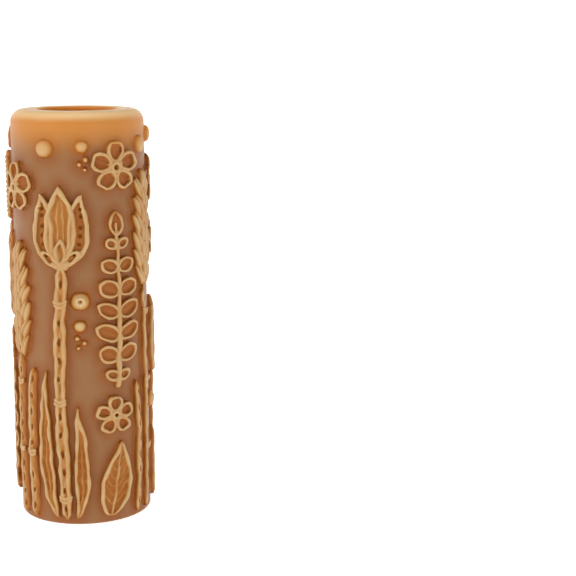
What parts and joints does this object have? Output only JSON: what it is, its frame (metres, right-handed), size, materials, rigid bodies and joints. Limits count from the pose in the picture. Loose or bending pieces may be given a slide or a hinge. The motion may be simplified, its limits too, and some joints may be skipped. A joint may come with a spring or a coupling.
{
  "type": "clay texture roller",
  "caption": "Thick hollow resin tube with a through bore, its outside covered in raised flowers, stems, ferns and berries that print a texture when rolled over clay.",
  "frame": {"origin": "centre of the lower end, on the roller's axis", "axes": "+Z along the roller's axis towards the rounded end that is up in the picture, -Y the side that faces the viewer"},
  "size_m": [0.0356, 0.0358, 0.1],
  "materials": {
    "tube_resin": "satin, slightly translucent amber-brown cast resin",
    "relief_resin": "satin, slightly translucent cream-amber cast resin on the raised forms"
  },
  "bodies": {
    "root": {"barley_1_ear": "relief_resin", "barley_1_stalk": "relief_resin", "barley_2_ear": "relief_resin", "barley_2_stalk": "relief_resin", "barley_3_ear": "relief_resin", "barley_3_stalk": "relief_resin", "broad_leaf_1": "relief_resin", "broad_leaf_2": "relief_resin", "ear_berry": "relief_resin", "fern_1": "relief_resin", "fern_2": "relief_resin", "fern_3": "relief_resin", "grass_1": "relief_resin", "grass_2": "relief_resin", "grass_3": "relief_resin", "grass_4": "relief_resin", "large_berry_1": "relief_resin", "large_berry_2": "relief_resin", "large_berry_3": "relief_resin", "large_berry_4": "relief_resin", "large_berry_5": "relief_resin", "large_berry_6": "relief_resin", "large_blossom_1": "relief_resin", "large_blossom_2": "relief_resin", "large_blossom_3": "relief_resin", "reed_1_head": "relief_resin", "reed_1_spike": "relief_resin", "reed_1_stalk": "relief_resin", "reed_2_head": "relief_resin", "reed_2_spike": "relief_resin", "reed_2_stalk": "relief_resin", "reed_blossom": "relief_resin", "roller_tube": "tube_resin", "small_berry_1": "relief_resin", "small_berry_2": "relief_resin", "small_berry_3": "relief_resin", "small_berry_4": "relief_resin", "small_berry_5": "relief_resin", "small_berry_6": "relief_resin", "small_berry_7": "relief_resin", "small_berry_8": "relief_resin", "small_blossom_1": "relief_resin", "small_blossom_2": "relief_resin", "tulip_1_head": "relief_resin", "tulip_1_leaf_left": "relief_resin", "tulip_1_leaf_right": "relief_resin", "tulip_1_stem": "relief_resin", "tulip_2_head": "relief_resin", "tulip_2_leaf_left": "relief_resin", "tulip_2_leaf_right": "relief_resin", "tulip_2_stem": "relief_resin", "tulip_3_head": "relief_resin", "tulip_3_leaf_left": "relief_resin", "tulip_3_leaf_right": "relief_resin", "tulip_3_stem": "relief_resin"}
  },
  "joints": []
}
